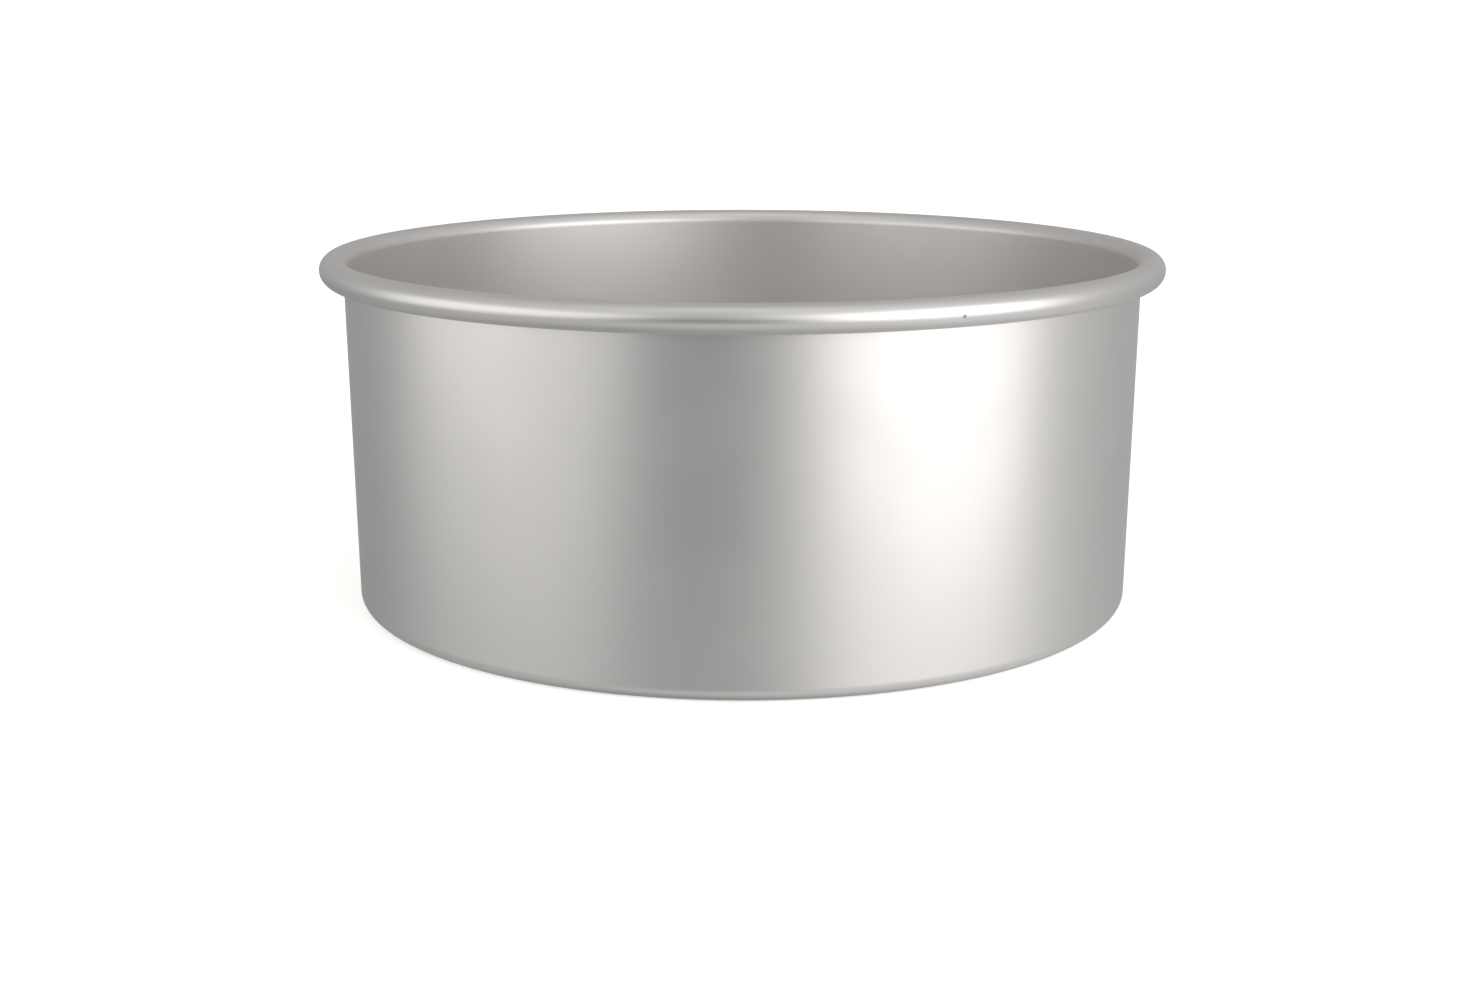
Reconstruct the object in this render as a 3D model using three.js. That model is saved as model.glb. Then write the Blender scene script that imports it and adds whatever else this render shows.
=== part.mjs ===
// A deep round cake pan with a loose base, in anodised aluminium.
// The side wall is one sheet: a seat turned in at the foot, a wall that leans out a little, and a hollow
// roll round the mouth. The base is a stepped disc that lies on the seat and lifts out upwards.
// Millimetres, +Z up. The origin is on the pan's axis, in the plane that the pan stands on.

import * as THREE from 'three';

// Driving dimensions of the side wall
const MOUTH_DIAMETER = 228.6; // inside, where the wall runs into the roll
const PAN_HEIGHT = 101.6; // from the standing plane to the top of the roll
const WALL_SHEET = 1.0; // gauge of the wall, the seat and the roll
const WALL_LEAN = THREE.MathUtils.degToRad(0.8); // draft that lets the base and a cake come free
const ROLL_DIAMETER = 7.7; // outside of the rolled rim
const ROLL_SLIT = 0.35; // left open between the roll's cut edge and the wall
const FOOT_BEND = 2.5; // inside radius between the wall and the seat
const SEAT_FLAT = 7.5; // flat width of the seat, from its cut edge to the foot bend

// Driving dimensions of the loose base
const BASE_SHEET = 1.5; // gauge of the base
const BASE_CLEARANCE = 0.3; // from the base's edge out to the foot bend and the wall
const STEP_CLEARANCE = 0.8; // from the base's step in to the seat's cut edge
const STEP_RUN = 2.4; // radial width of the step
const FLOOR_STANDOFF = 0.4; // underside of the base's floor above the standing plane

// Fineness of the facets
const FACETS = 96; // round the pan's axis
const ARC_STEP = THREE.MathUtils.degToRad(18); // along a bend in the section
const STEP_CURVE_STEPS = 4; // along the base's step

// Places that the wall and the base share, as radius and height in the section
const rollRadius = ROLL_DIAMETER / 2;
const roll = {
  r: MOUTH_DIAMETER / 2 + rollRadius * Math.cos(WALL_LEAN),
  z: PAN_HEIGHT - rollRadius,
};
const wallTop = { r: MOUTH_DIAMETER / 2, z: roll.z + rollRadius * Math.sin(WALL_LEAN) };
const wallInsideAt = (z) => wallTop.r - (wallTop.z - z) * Math.tan(WALL_LEAN);
const footBendOutside = FOOT_BEND + WALL_SHEET;
const foot = {
  r: wallInsideAt(footBendOutside) - FOOT_BEND / Math.cos(WALL_LEAN),
  z: footBendOutside,
};
const seatEdge = foot.r - SEAT_FLAT;

// Points along a section's outline: an arc has a point for each step of its sweep, a free curve a few.
function outlineOf(section) {
  const points = section.curves.flatMap((curve) => {
    if (curve.isEllipseCurve) {
      return curve.getPoints(Math.ceil(Math.abs(curve.aEndAngle - curve.aStartAngle) / ARC_STEP));
    }
    return curve.getPoints(curve.isLineCurve ? 1 : STEP_CURVE_STEPS);
  });
  const apart = (point, i) => i === 0 || point.distanceTo(points[i - 1]) > Number.EPSILON * PAN_HEIGHT;
  return points.filter(apart);
}

// A named mesh turned from a section, with the section's height along +Z.
function turned(name, section, material) {
  const geometry = new THREE.LatheGeometry(outlineOf(section), FACETS);
  geometry.rotateX(Math.PI / 2);
  const mesh = new THREE.Mesh(geometry, material);
  mesh.name = name;
  return mesh;
}

// The wall's section follows the outside of the sheet from the seat's cut edge up to the roll, runs round
// the inside of the roll to its cut edge, and comes back along the inside of the pan.
function wallSection() {
  const outwards = -WALL_LEAN; // direction of the wall's outer face, from the foot bend's centre
  const inwards = Math.PI - WALL_LEAN; // direction of its inner face, from the roll's centre
  const slitAngle = Math.acos(1 - (WALL_SHEET + ROLL_SLIT) / rollRadius);
  const cutEdge = inwards - (2 * Math.PI - slitAngle);
  const section = new THREE.Shape();
  section.moveTo(seatEdge, 0);
  section.lineTo(foot.r, 0);
  section.absarc(foot.r, foot.z, footBendOutside, -Math.PI / 2, outwards, false);
  section.absarc(roll.r, roll.z, rollRadius - WALL_SHEET, inwards, cutEdge, true);
  section.absarc(roll.r, roll.z, rollRadius, cutEdge, inwards, false);
  section.absarc(foot.r, foot.z, FOOT_BEND, outwards, -Math.PI / 2, true);
  section.lineTo(seatEdge, WALL_SHEET);
  section.lineTo(seatEdge, 0);
  return section;
}

// The base's section, with height 0 where its flange lies on the seat. Its lower edge is rounded to nest in
// the foot bend, and its floor drops through the seat's opening, clear of the standing plane.
function baseSection() {
  const edgeRound = Math.min(FOOT_BEND, BASE_SHEET);
  const flangeEnd = foot.r - BASE_CLEARANCE;
  const stepTop = seatEdge - STEP_CLEARANCE;
  const stepFoot = stepTop - STEP_RUN;
  const stepMiddle = (stepTop + stepFoot) / 2;
  const floor = FLOOR_STANDOFF - WALL_SHEET;
  const section = new THREE.Shape();
  section.moveTo(0, floor);
  section.lineTo(stepFoot, floor);
  section.bezierCurveTo(stepMiddle, floor, stepMiddle, 0, stepTop, 0);
  section.lineTo(flangeEnd, 0);
  section.absarc(flangeEnd, edgeRound, edgeRound, -Math.PI / 2, 0, false);
  section.lineTo(flangeEnd + edgeRound, BASE_SHEET);
  section.lineTo(stepTop, BASE_SHEET);
  section.bezierCurveTo(stepMiddle, BASE_SHEET, stepMiddle, floor + BASE_SHEET, stepFoot, floor + BASE_SHEET);
  section.lineTo(0, floor + BASE_SHEET);
  return section;
}

// Satin anodised aluminium, a little duller on the base, which is wiped and scraped most.
const wallFinish = new THREE.MeshStandardMaterial({ color: 0xcac8c4, roughness: 0.4, metalness: 1 });
const baseFinish = new THREE.MeshStandardMaterial({ color: 0xc2c0bb, roughness: 0.46, metalness: 1 });

const sideWall = turned('side_wall', wallSection(), wallFinish);
const looseBase = turned('loose_base', baseSection(), baseFinish);
looseBase.position.z = WALL_SHEET;

const cakePan = new THREE.Group();
cakePan.name = 'cake_pan';
cakePan.add(sideWall, looseBase);

export default cakePan;
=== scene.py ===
import math
import bpy
import numpy as np
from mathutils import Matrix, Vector


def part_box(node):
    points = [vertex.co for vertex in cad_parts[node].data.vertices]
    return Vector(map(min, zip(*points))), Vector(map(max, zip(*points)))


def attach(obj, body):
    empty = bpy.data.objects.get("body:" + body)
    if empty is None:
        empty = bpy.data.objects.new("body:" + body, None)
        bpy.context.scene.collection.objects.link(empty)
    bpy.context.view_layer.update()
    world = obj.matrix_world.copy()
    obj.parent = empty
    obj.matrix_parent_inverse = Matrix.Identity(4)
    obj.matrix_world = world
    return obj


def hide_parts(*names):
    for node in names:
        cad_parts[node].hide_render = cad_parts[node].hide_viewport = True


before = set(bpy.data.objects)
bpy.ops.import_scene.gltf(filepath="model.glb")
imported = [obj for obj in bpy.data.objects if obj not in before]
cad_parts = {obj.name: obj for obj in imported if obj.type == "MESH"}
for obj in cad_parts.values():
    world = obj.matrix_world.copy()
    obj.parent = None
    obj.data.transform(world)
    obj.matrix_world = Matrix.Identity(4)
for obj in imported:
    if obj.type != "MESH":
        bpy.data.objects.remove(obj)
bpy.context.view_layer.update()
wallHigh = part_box("side_wall")[1]
baseLow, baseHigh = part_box("loose_base")
scene = bpy.context.scene
print("frame loaded:", ", ".join(sorted(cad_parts)))


# Camera: in front of the pan and a little above its rim, aimed low on the pan's axis

cameraSetup = {
    "lens": 50.2,  # mm on a 36 mm sensor
    "sensor": 36.0,
    "standOff": 0.6016,  # from the pan's axis
    "eyeHeight": 0.1686,
    "aimHeight": 0.0284,
    "aside": -0.0021,  # the pan stands a little right of the middle of the picture
}


def placeCamera(setup):
    camera = bpy.data.objects.new("camera", bpy.data.cameras.new("camera"))
    scene.collection.objects.link(camera)
    camera.data.lens = setup["lens"]
    camera.data.sensor_width = setup["sensor"]
    camera.location = (setup["aside"], -setup["standOff"], setup["eyeHeight"])
    aim = Vector((setup["aside"], 0, setup["aimHeight"])) - camera.location
    camera.rotation_euler = aim.to_track_quat("-Z", "Y").to_euler()
    scene.camera = camera


placeCamera(cameraSetup)
print("camera placed")


# Sections and turning: a section is rows of radius and height, and a turned piece carries it round the Z axis

# An arc: the centre plus the radius times the cosine and sine of evenly spaced angles.
def arcOf(centre, radius, start, end, step):
    angles = np.linspace(start, end, math.ceil(abs(end - start) / step) + 1)
    return np.column_stack((centre[0] + radius * np.cos(angles), centre[1] + radius * np.sin(angles)))


# A straight run: start plus a share of the way to the end. The share follows half a cosine wave, so points
# gather at both ends and a bend doesn't tilt the shading of the flat beside it.
def runOf(start, end, count):
    share = (1 - np.cos(np.linspace(0, np.pi, count))) / 2
    return np.outer(1 - share, start) + np.outer(share, end)


# An easing step: the radius follows a cubic with both handles at mid-run, the height three times the share
# squared less twice its cube.
def stepOf(start, end, count):
    share = np.linspace(0, 1, count)
    middle = (start[0] + end[0]) / 2
    radius = start[0] * (1 - share) ** 3 + 3 * middle * share * (1 - share) + end[0] * share ** 3
    height = start[1] + (end[1] - start[1]) * (3 * share ** 2 - 2 * share ** 3)
    return np.column_stack((radius, height))


hair = 1e-8  # metres under which two points are one


# One section of its stretches, without the points that two stretches share.
def joinRuns(*runs):
    points = np.vstack(runs)
    apart = np.linalg.norm(np.diff(points, axis=0), axis=1) > hair
    return points[np.append(True, apart)]


# A section turned about Z: at angle t a point of radius r and height h lies at (r cos t, r sin t, h).
# A section that closes on itself becomes a ring, one that starts and ends on the axis is closed by two fans.
def turnedPiece(name, section, turns, material):
    ends = section[[0, -1]]
    solid = bool(np.all(ends[:, 0] < hair))
    rows = section[1:-1] if solid else section[:-1]
    angles = np.linspace(0, 2 * np.pi, turns, endpoint=False)
    x = np.outer(rows[:, 0], np.cos(angles))
    y = np.outer(rows[:, 0], np.sin(angles))
    z = np.outer(rows[:, 1], np.ones(turns))
    points = np.stack((x, y, z), axis=-1).reshape(-1, 3)
    index = np.arange(len(points)).reshape(len(rows), turns)
    onward = np.roll(index, -1, axis=1)  # the next point round the axis
    lower = slice(0, -1) if solid else slice(None)
    upper = slice(1, None) if solid else np.roll(np.arange(len(rows)), -1)
    quads = np.stack((index[lower], onward[lower], onward[upper], index[upper]), axis=-1)
    faces = quads.reshape(-1, 4).tolist()
    if solid:
        poles = np.column_stack((np.zeros((2, 2)), ends[:, 1]))
        firstPole = np.full(turns, len(points))
        faces += np.column_stack((firstPole, onward[0], index[0])).tolist()
        faces += np.column_stack((index[-1], onward[-1], firstPole + 1)).tolist()
        points = np.vstack((points, poles))
    mesh = bpy.data.meshes.new(name)
    mesh.from_pydata(points, [], faces)
    mesh.polygons.foreach_set("use_smooth", np.ones(len(mesh.polygons), dtype=bool))
    mesh.materials.append(material)
    mesh.update()
    piece = bpy.data.objects.new(name, mesh)
    scene.collection.objects.link(piece)
    return piece


# Shader nodes

# A node of a tree: its properties are set first, then each socket is linked or given a value.
def addNode(tree, kind, sockets=None, **properties):
    node = tree.nodes.new(kind)
    for key, value in properties.items():
        setattr(node, key, value)
    for key, value in (sockets or {}).items():
        if isinstance(value, bpy.types.NodeSocket):
            tree.links.new(value, node.inputs[key])
        else:
            node.inputs[key].default_value = value
    return node


def calc(tree, operation, *values):
    return addNode(tree, "ShaderNodeMath", dict(enumerate(values)), operation=operation).outputs[0]


# A value carried from 0 at the start to 1 at the end, eased at both ends.
def fade(tree, value, start, end):
    sockets = {0: value, 1: start, 2: end}
    return addNode(tree, "ShaderNodeMapRange", sockets, interpolation_type="SMOOTHSTEP").outputs[0]


def noise(tree, place, scale, detail):
    return addNode(tree, "ShaderNodeTexNoise", {"Vector": place, "Scale": scale, "Detail": detail}).outputs[0]


# Noise that varies along one value only, which makes lines across it.
def lineNoise(tree, along, scale, detail):
    sockets = {"W": along, "Scale": scale, "Detail": detail}
    return addNode(tree, "ShaderNodeTexNoise", sockets, noise_dimensions="1D").outputs[0]


def blend(tree, share, first, second, kind="FLOAT"):
    slots = {"FLOAT": (2, 3, 0), "RGBA": (6, 7, 2)}[kind]  # sockets of both inputs and of the output
    node = addNode(tree, "ShaderNodeMix", {0: share, slots[0]: first, slots[1]: second}, data_type=kind)
    return node.outputs[slots[2]]


def objectPlace(tree):
    return addNode(tree, "ShaderNodeTexCoord").outputs["Object"]


def heightOf(tree, place):
    return addNode(tree, "ShaderNodeSeparateXYZ", {0: place}).outputs["Z"]


# The place without its height, as an arrow out from the Z axis.
def outwardOf(tree, place):
    return addNode(tree, "ShaderNodeVectorMath", {0: place, 1: (1, 1, 0)}, operation="MULTIPLY").outputs[0]


# Distance from the Z axis.
def radiusOf(tree, place):
    outward = outwardOf(tree, place)
    return addNode(tree, "ShaderNodeVectorMath", {0: outward}, operation="LENGTH").outputs["Value"]


# How far the surface faces the Z axis: 1 straight at it, -1 straight away.
def facingAxis(tree, place):
    normal = addNode(tree, "ShaderNodeTexCoord").outputs["Normal"]
    outward = outwardOf(tree, place)
    spoke = addNode(tree, "ShaderNodeVectorMath", {0: outward}, operation="NORMALIZE").outputs[0]
    away = addNode(tree, "ShaderNodeVectorMath", {0: normal, 1: spoke}, operation="DOT_PRODUCT")
    return calc(tree, "MULTIPLY", away.outputs["Value"], -1.0)


def distanceTo(tree, place, spot):
    return addNode(tree, "ShaderNodeVectorMath", {0: place, 1: spot}, operation="DISTANCE").outputs["Value"]


# A group with number inputs that have defaults, filled by a function that returns its outputs by name.
def shaderGroup(name, inputs, fill):
    group = bpy.data.node_groups.new(name, "ShaderNodeTree")
    for key, value in inputs.items():
        socket = group.interface.new_socket(name=key, in_out="INPUT", socket_type="NodeSocketFloat")
        socket.default_value = value
    given = addNode(group, "NodeGroupInput").outputs
    made = fill(group, given)
    for key in made:
        group.interface.new_socket(name=key, in_out="OUTPUT", socket_type="NodeSocketFloat")
    addNode(group, "NodeGroupOutput", made)
    return group


def useGroup(tree, group, **sockets):
    return addNode(tree, "ShaderNodeGroup", sockets, node_tree=group).outputs


cloudRange = (0.3, 0.7)  # noise values where a cloud starts and is full
patchRange = (0.5, 0.62)  # and the same for a patch of scratches


# Blasted and anodised surface: fine grain with a coarser pebble as a height, and broad clouds of tone.
# Scales are in cycles per metre.
def fillSatinEtch(tree, given):
    place = objectPlace(tree)
    grain = noise(tree, place, given["Grain"], 2.0)
    pebble = noise(tree, place, given["Pebble"], 1.0)
    clouds = noise(tree, place, given["Clouds"], 3.0)
    height = blend(tree, given["PebbleShare"], grain, pebble)
    return {"Height": height, "Cloud": fade(tree, clouds, *cloudRange)}


# Rings left by the roller or the lathe, fine and broad, as a height.
def fillFormingLines(tree, given):
    fine = lineNoise(tree, given["Along"], given["Fine"], 2.0)
    broad = lineNoise(tree, given["Along"], given["Broad"], 1.0)
    return {"Lines": blend(tree, given["BroadShare"], fine, broad)}


scratchTurns = (0.5, -0.9)  # radians about Z
scratchStretch = 24  # times as long as wide


# Short straight scratches in two directions: streaky noise is kept only where it crosses its middle value,
# and only in patches.
def fillScratches(tree, given):
    place = objectPlace(tree)
    patches = fade(tree, noise(tree, place, given["Patches"], 1.0), *patchRange)
    scratches = []
    for turn in scratchTurns:
        stretch = {"Vector": place, "Rotation": (0, 0, turn), "Scale": (1, scratchStretch, 1)}
        streaks = noise(tree, addNode(tree, "ShaderNodeMapping", stretch).outputs[0], given["Streaks"], 0.0)
        offMiddle = calc(tree, "ABSOLUTE", calc(tree, "SUBTRACT", streaks, 0.5))
        scratches.append(fade(tree, offMiddle, given["Width"], 0.0))
    return {"Scratches": calc(tree, "MULTIPLY", patches, calc(tree, "MAXIMUM", *scratches))}


etchInputs = {"Grain": 2300.0, "Pebble": 850.0, "PebbleShare": 0.7, "Clouds": 26.0}
lineInputs = {"Along": 0.0, "Fine": 1500.0, "Broad": 180.0, "BroadShare": 0.45}
scratchInputs = {"Width": 0.012, "Patches": 55.0, "Streaks": 45.0}
satinEtch = shaderGroup("satinEtch", etchInputs, fillSatinEtch)
formingLines = shaderGroup("formingLines", lineInputs, fillFormingLines)
handScratches = shaderGroup("handScratches", scratchInputs, fillScratches)


def emptyMaterial(name):
    material = bpy.data.materials.new(name)
    material.use_nodes = True
    material.node_tree.nodes.clear()
    return material, material.node_tree


def pressed(tree, height, depth, normal=None):
    sockets = {"Height": height, "Distance": depth}
    if normal is not None:
        sockets["Normal"] = normal
    return addNode(tree, "ShaderNodeBump", sockets).outputs[0]


def bareMetal(tree, colour, roughness, normal):
    sockets = {"Base Color": colour, "Metallic": 1.0, "Roughness": roughness, "Normal": normal}
    shader = addNode(tree, "ShaderNodeBsdfPrincipled", sockets)
    addNode(tree, "ShaderNodeOutputMaterial", {"Surface": shader.outputs[0]})


# Side wall: one sheet, from the seat's cut edge out along the standing plane, up the outside, round the
# inside of the roll, back over the roll and down the inside of the pan

wallSetup = {
    "sheet": 0.0010,
    "lean": math.radians(0.8),
    "rollDiameter": 0.0077,
    "slit": 0.00035,  # between the roll's cut edge and the wall
    "footBend": 0.0025,  # inside radius
    "seatFlat": 0.0075,
    "edgeRound": 0.0002,  # on both cut edges
    "turns": 320,
    "bendStep": math.radians(6),
    "hiddenStep": math.radians(12),  # inside the roll
    "cutStep": math.radians(30),
    "wallRows": 28,
    "seatRows": 6,
    "outerTones": ((0.700, 0.691, 0.681, 1), (0.678, 0.670, 0.660, 1)),  # clear and cloudy
    # painted warm cast: the inner face is painted a little lighter and warmer than the outer tones, for the
    # light the reflections inside gather
    "paintedInnerTones": ((0.730, 0.714, 0.702, 1), (0.708, 0.693, 0.681, 1)),
    "innerFacing": (0.5, 1.0),  # how far a face turns to the axis where the painted inner tones start and are full
    "roughness": (0.39, 0.43),
    "rolledRoughness": 0.38,  # the roll's outer side is burnished by its forming
    "soleRoughness": 0.34,  # and the sole by shelves
    "etchDepth": 6e-6,
    "lineDepth": 2e-6,
    "burnish": (0.0045, 0.0025),  # in from the roll's outermost line, to where its finish starts and is full
    "soleReach": 0.0005,  # from the standing plane up to where its rubbing ends
    "markTurn": math.radians(26.0),  # a small dark mark on the roll, right of the front
    "markTilt": math.radians(-9.0),
    "markReach": (0.0008, 0.0002),  # from its middle, to where it starts and is full
    "markColour": (0.30, 0.29, 0.28, 1),
}


def rollCentre(setup):
    rollRadius = setup["rollDiameter"] / 2
    return np.array((wallHigh.x - rollRadius, wallHigh.z - rollRadius))


def wallSection(setup):
    sheet, lean, cut = setup["sheet"], setup["lean"], setup["edgeRound"]
    rollRadius = setup["rollDiameter"] / 2
    roll = rollCentre(setup)
    inward = np.array((-math.cos(lean), math.sin(lean)))  # square to the wall, towards the axis
    top = roll + rollRadius * inward
    footHeight = setup["footBend"] + sheet
    footRadius = top[0] - (top[1] - footHeight) * math.tan(lean) - setup["footBend"] / math.cos(lean)
    foot = np.array((footRadius, footHeight))
    seatEdge = footRadius - setup["seatFlat"]
    facing = math.pi - lean  # angle of the wall's inner face, seen from the roll
    closing = math.acos(1 - (sheet + setup["slit"]) / rollRadius)
    end = facing - (2 * math.pi - closing)  # angle at which the roll's sheet is cut off
    spoke = np.array((math.cos(end), math.sin(end)))
    ahead = np.array((math.sin(end), -math.cos(end)))
    innerCorner = roll + spoke * (rollRadius - sheet + cut) - ahead * cut
    outerCorner = roll + spoke * (rollRadius - cut) - ahead * cut
    return joinRuns(
        arcOf((seatEdge + cut, cut), cut, math.pi, 1.5 * math.pi, setup["cutStep"]),
        runOf((seatEdge + cut, 0), (footRadius, 0), setup["seatRows"]),
        arcOf(foot, footHeight, -math.pi / 2, -lean, setup["bendStep"]),
        runOf(foot - footHeight * inward, roll + (rollRadius - sheet) * inward, setup["wallRows"]),
        arcOf(roll, rollRadius - sheet, facing, end + cut / rollRadius, setup["hiddenStep"]),
        arcOf(innerCorner, cut, end - math.pi, end - math.pi / 2, setup["cutStep"]),
        arcOf(outerCorner, cut, end - math.pi / 2, end, setup["cutStep"]),
        arcOf(roll, rollRadius, end + cut / rollRadius, facing, setup["bendStep"]),
        runOf(top, foot - setup["footBend"] * inward, setup["wallRows"]),
        arcOf(foot, setup["footBend"], -lean, -math.pi / 2, setup["bendStep"]),
        runOf((footRadius, sheet), (seatEdge + cut, sheet), setup["seatRows"]),
        arcOf((seatEdge + cut, sheet - cut), cut, math.pi / 2, math.pi, setup["cutStep"]),
        np.array([(seatEdge, cut)]),
    )


# Satin grain with rings round the wall. The inner face has a painted warm cast: its tones are a little
# lighter and warmer, standing in for the light that the reflections inside the pan gather. The roll is
# smoother, the sole is scratched by shelves, and the roll has one small dark mark.
def wallAluminium(setup):
    material, tree = emptyMaterial("wallAluminium")
    place = objectPlace(tree)
    height = heightOf(tree, place)
    etch = useGroup(tree, satinEtch)
    lines = useGroup(tree, formingLines, Along=height)["Lines"]
    scratches = useGroup(tree, handScratches)["Scratches"]
    onRoll = fade(tree, radiusOf(tree, place), *(wallHigh.x - reach for reach in setup["burnish"]))
    onSole = fade(tree, height, setup["soleReach"], 0.0)
    turn, tilt = setup["markTurn"], setup["markTilt"]
    markRow = rollCentre(setup) + setup["rollDiameter"] / 2 * np.array((math.cos(tilt), math.sin(tilt)))
    markPlace = (markRow[0] * math.sin(turn), -markRow[0] * math.cos(turn), markRow[1])
    mark = fade(tree, distanceTo(tree, place, markPlace), *setup["markReach"])
    # painted warm cast: lighter, warmer inner tones where a face turns towards the axis
    inside = fade(tree, facingAxis(tree, place), *setup["innerFacing"])
    outer = blend(tree, etch["Cloud"], *setup["outerTones"], "RGBA")
    inner = blend(tree, etch["Cloud"], *setup["paintedInnerTones"], "RGBA")
    colour = blend(tree, inside, outer, inner, "RGBA")
    colour = blend(tree, mark, colour, setup["markColour"], "RGBA")
    roughness = blend(tree, etch["Cloud"], *setup["roughness"])
    roughness = blend(tree, onRoll, roughness, setup["rolledRoughness"])
    roughness = blend(tree, calc(tree, "MULTIPLY", onSole, scratches), roughness, setup["soleRoughness"])
    normal = pressed(tree, etch["Height"], setup["etchDepth"])
    normal = pressed(tree, lines, setup["lineDepth"], normal)
    bareMetal(tree, colour, roughness, normal)
    return material


wallMetal = wallAluminium(wallSetup)
sideWall = turnedPiece("pan_side_wall", wallSection(wallSetup), wallSetup["turns"], wallMetal)
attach(sideWall, "wall")
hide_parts("side_wall")
print("side wall turned:", len(sideWall.data.polygons), "faces")


# Loose base: a stepped disc, from the middle of its underside out to its edge and back over the top

baseSetup = {
    "sheet": 0.0015,
    "flange": 0.0095,  # from the top of the step out to the edge
    "stepRun": 0.0024,
    "edgeRound": 0.00025,  # on the upper edge, the lower one is rounded by the whole sheet
    "turns": 320,
    "bendStep": math.radians(9),
    "cutStep": math.radians(30),
    "stepRows": 9,
    "floorRows": 10,
    "flangeRows": 6,
    "tones": ((0.700, 0.691, 0.680, 1), (0.666, 0.658, 0.647, 1)),  # clear and cloudy
    "roughness": (0.42, 0.48),
    "rubbedRoughness": 0.34,
    "etchDepth": 5e-6,
    "lineDepth": 5e-6,
    "rim": 0.0012,  # rubbed this far in from the edge
    "rings": {"Fine": 1100.0, "Broad": 140.0},  # cycles per metre
    "scratchWidth": 0.016,
    "scratchTone": 0.55,  # how much of the rubbed finish a scratch shows
}


def baseSection(setup):
    sheet, cut = setup["sheet"], setup["edgeRound"]
    floor, flange = baseLow.z, baseHigh.z - sheet
    edge = baseHigh.x
    stepTop = edge - setup["flange"]
    stepFoot = stepTop - setup["stepRun"]
    lowerRound = sheet - cut
    return joinRuns(
        runOf((0, floor), (stepFoot, floor), setup["floorRows"]),
        stepOf((stepFoot, floor), (stepTop, flange), setup["stepRows"]),
        runOf((stepTop, flange), (edge - lowerRound, flange), setup["flangeRows"]),
        arcOf((edge - lowerRound, flange + lowerRound), lowerRound, -math.pi / 2, 0, setup["bendStep"]),
        arcOf((edge - cut, flange + sheet - cut), cut, 0, math.pi / 2, setup["cutStep"]),
        runOf((edge - cut, flange + sheet), (stepTop, flange + sheet), setup["flangeRows"]),
        stepOf((stepTop, flange + sheet), (stepFoot, floor + sheet), setup["stepRows"]),
        runOf((stepFoot, floor + sheet), (0, floor + sheet), setup["floorRows"]),
    )


# The wall's satin, duller, with turned rings about the middle, knife scratches and a rubbed edge.
def baseAluminium(setup):
    material, tree = emptyMaterial("baseAluminium")
    radius = radiusOf(tree, objectPlace(tree))
    etch = useGroup(tree, satinEtch)
    rings = useGroup(tree, formingLines, Along=radius, **setup["rings"])["Lines"]
    scratches = useGroup(tree, handScratches, Width=setup["scratchWidth"])["Scratches"]
    onRim = fade(tree, radius, baseHigh.x - setup["rim"], baseHigh.x)
    rubbed = calc(tree, "MAXIMUM", onRim, calc(tree, "MULTIPLY", scratches, setup["scratchTone"]))
    colour = blend(tree, etch["Cloud"], *setup["tones"], "RGBA")
    roughness = blend(tree, etch["Cloud"], *setup["roughness"])
    roughness = blend(tree, rubbed, roughness, setup["rubbedRoughness"])
    normal = pressed(tree, etch["Height"], setup["etchDepth"])
    normal = pressed(tree, rings, setup["lineDepth"], normal)
    bareMetal(tree, colour, roughness, normal)
    return material


baseMetal = baseAluminium(baseSetup)
looseBase = turnedPiece("pan_loose_base", baseSection(baseSetup), baseSetup["turns"], baseMetal)
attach(looseBase, "base")
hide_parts("loose_base")
print("loose base turned:", len(looseBase.data.polygons), "faces")


# Stage: a pale floor that turns up into a round backdrop, two soft lights and a grey surround

floorSetup = {
    "eyelet": 0.001,  # the floor is a ring, with a hole that the pan hides
    "flatRadius": 1.8,
    "upturn": 0.9,  # radius of the turn from floor to backdrop
    "backdropTop": 2.4,
    "thickness": 0.01,
    "turns": 96,
    "flatRows": 12,
    "bendStep": math.radians(6),
    "colour": (0.93, 0.93, 0.925, 1),
    "roughness": 0.9,
    "sheen": 0.1,
    "lift": 0.3,  # its own faint light, so that it reads as white paper
}


def palePaper(setup):
    material, tree = emptyMaterial("palePaper")
    sockets = {"Base Color": setup["colour"], "Roughness": setup["roughness"]}
    sockets |= {"Specular IOR Level": setup["sheen"], "Emission Color": setup["colour"]}
    sockets["Emission Strength"] = setup["lift"]
    shader = addNode(tree, "ShaderNodeBsdfPrincipled", sockets)
    addNode(tree, "ShaderNodeOutputMaterial", {"Surface": shader.outputs[0]})
    return material


def floorSection(setup):
    inner, outer = setup["eyelet"], setup["flatRadius"] + setup["upturn"]
    top, under, rear = setup["backdropTop"], -setup["thickness"], outer + setup["thickness"]
    back = [(outer, top), (rear, top), (rear, under), (inner, under), (inner, 0)]
    return joinRuns(
        runOf((inner, 0), (setup["flatRadius"], 0), setup["flatRows"]),
        arcOf((setup["flatRadius"], setup["upturn"]), setup["upturn"], -math.pi / 2, 0, setup["bendStep"]),
        np.array(back),
    )


floor = turnedPiece("floor", floorSection(floorSetup), floorSetup["turns"], palePaper(floorSetup))
floor.visible_glossy = False  # the surround's lower half stands in for it in the pan's reflections
floor.visible_shadow = False

softLights = {
    "right": {"azimuth": 50.2, "elevation": 8.9, "distance": 1.013, "size": (1.16, 0.91), "glow": 1.24},
    "left": {"azimuth": -63.8, "elevation": 6.5, "distance": 1.007, "size": (1.44, 0.70), "glow": 0.61},
}
lightsAim = Vector((0, 0, 0.05))
warmth = (1.0, 0.986, 0.973)  # tint of all the light


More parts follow.
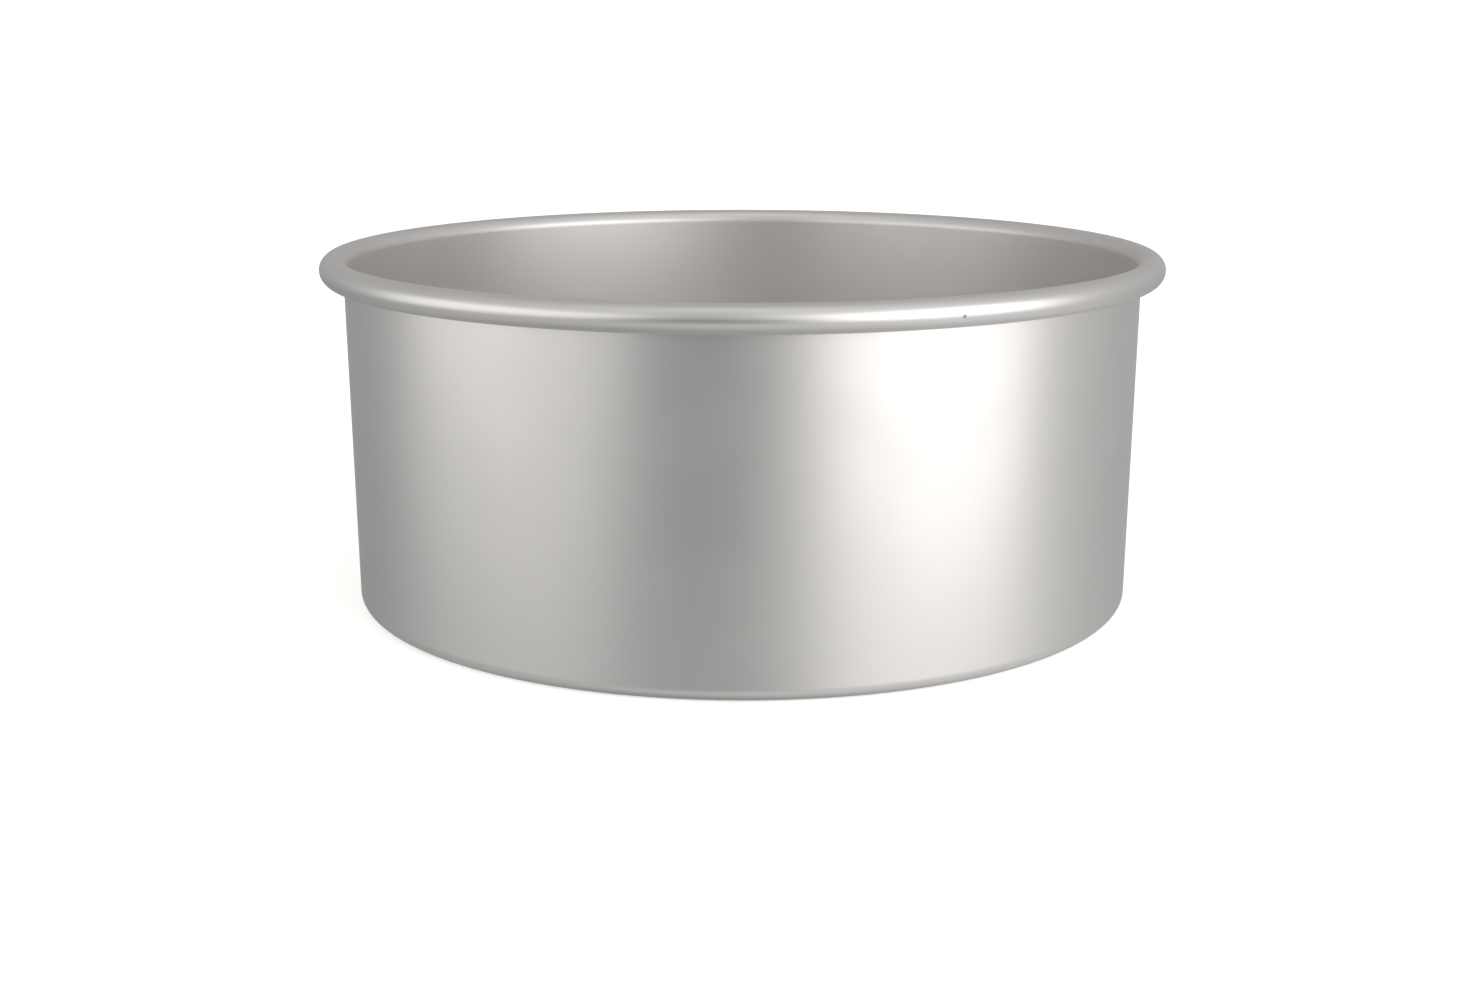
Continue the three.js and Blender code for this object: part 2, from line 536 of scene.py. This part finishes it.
# Direction of an azimuth and elevation in degrees. Azimuth 0 is the front, where the camera stands.
def directionOf(azimuth, elevation):
    turn, tilt = math.radians(azimuth), math.radians(elevation)
    return Vector((math.sin(turn) * math.cos(tilt), -math.cos(turn) * math.cos(tilt), math.sin(tilt)))


def hangLight(name, setup):
    data = bpy.data.lights.new(name, "AREA")
    data.shape = "RECTANGLE"
    data.color = warmth
    data.size, data.size_y = setup["size"]
    data.energy = 4 * data.size * data.size_y * setup["glow"]  # watts for that radiance
    light = bpy.data.objects.new(name, data)
    scene.collection.objects.link(light)
    away = directionOf(setup["azimuth"], setup["elevation"])
    light.location = lightsAim + away * setup["distance"]
    light.rotation_euler = (-away).to_track_quat("-Z", "Y").to_euler()
    light.visible_camera = False


for lightName, lightSetup in softLights.items():
    hangLight(lightName + "Softbox", lightSetup)

surround = {
    "levels": {-80: 0.35, -45: 0.58, -15: 0.405, 15: 0.645, 60: 0.73},  # brightness by elevation
    "frontGain": 0.25,  # brighter by this share in front, darker behind
    "rightGain": 0.075,
    "horizon": (10.0, -25.0),  # elevations where the table begins and where it is in full
    "tableRight": 0.17,  # gains on the table alone, to the right and to both sides
    "tableSides": 0.24,
    "gaps": (  # dark gaps in front: the middle and half the width in azimuth and elevation, and how dark
        {"azimuth": (-11.5, 27.1), "elevation": (-9.4, 9.8), "depth": 0.92},
        {"azimuth": (-9.0, 11.0), "elevation": (27.0, 31.0), "depth": 0.55},
    ),
    "gapEdge": 4.0,
}


# Light from each direction: the level at its elevation, times one plus the front gain by the cosine and the
# right gain by the sine of its azimuth. The table adds its own right gain by the sine and its side gain by
# the sine squared, and each gap takes away its depth.
def greySurround(setup):
    world = bpy.data.worlds.new("surround")
    world.use_nodes = True
    tree = world.node_tree
    tree.nodes.clear()
    direction = addNode(tree, "ShaderNodeTexCoord").outputs["Generated"]
    x, y, z = addNode(tree, "ShaderNodeSeparateXYZ", {0: direction}).outputs
    azimuth = calc(tree, "DEGREES", calc(tree, "ARCTAN2", x, calc(tree, "MULTIPLY", y, -1.0)))
    elevation = calc(tree, "DEGREES", calc(tree, "ARCSINE", z))
    ramp = addNode(tree, "ShaderNodeValToRGB", {0: calc(tree, "MULTIPLY_ADD", elevation, 1 / 180, 0.5)})
    stops = ramp.color_ramp.elements
    stops.remove(stops[1])
    for count, (angle, level) in enumerate(setup["levels"].items()):
        stop = stops[0] if count == 0 else stops.new(1.0)
        stop.position = angle / 180 + 0.5
        stop.color = (*(level * share for share in warmth), 1)
    turn = calc(tree, "RADIANS", azimuth)
    ahead, aside = calc(tree, "COSINE", turn), calc(tree, "SINE", turn)
    onTable = fade(tree, elevation, *setup["horizon"])
    tableGain = calc(tree, "MULTIPLY_ADD", aside, setup["tableSides"], setup["tableRight"])
    tableGain = calc(tree, "MULTIPLY", aside, tableGain)
    gain = calc(tree, "MULTIPLY_ADD", ahead, setup["frontGain"], 1.0)
    gain = calc(tree, "MULTIPLY_ADD", aside, setup["rightGain"], gain)
    gain = calc(tree, "MULTIPLY_ADD", onTable, tableGain, gain)
    for gap in setup["gaps"]:
        shade = gap["depth"]
        for angle, (middle, half) in ((azimuth, gap["azimuth"]), (elevation, gap["elevation"])):
            offMiddle = calc(tree, "ABSOLUTE", calc(tree, "SUBTRACT", angle, middle))
            within = fade(tree, offMiddle, half + setup["gapEdge"], half - setup["gapEdge"])
            shade = calc(tree, "MULTIPLY", within, shade)
        gain = calc(tree, "MULTIPLY", gain, calc(tree, "SUBTRACT", 1.0, shade))
    light = addNode(tree, "ShaderNodeBackground", {"Color": ramp.outputs[0], "Strength": gain})
    addNode(tree, "ShaderNodeOutputWorld", {"Surface": light.outputs[0]})
    scene.world = world


greySurround(surround)
scene.view_settings.view_transform = "Standard"
scene.cycles.glossy_bounces = 8  # the pan's inside is lit by many reflections
scene.cycles.blur_glossy = 0
print("stage lit")
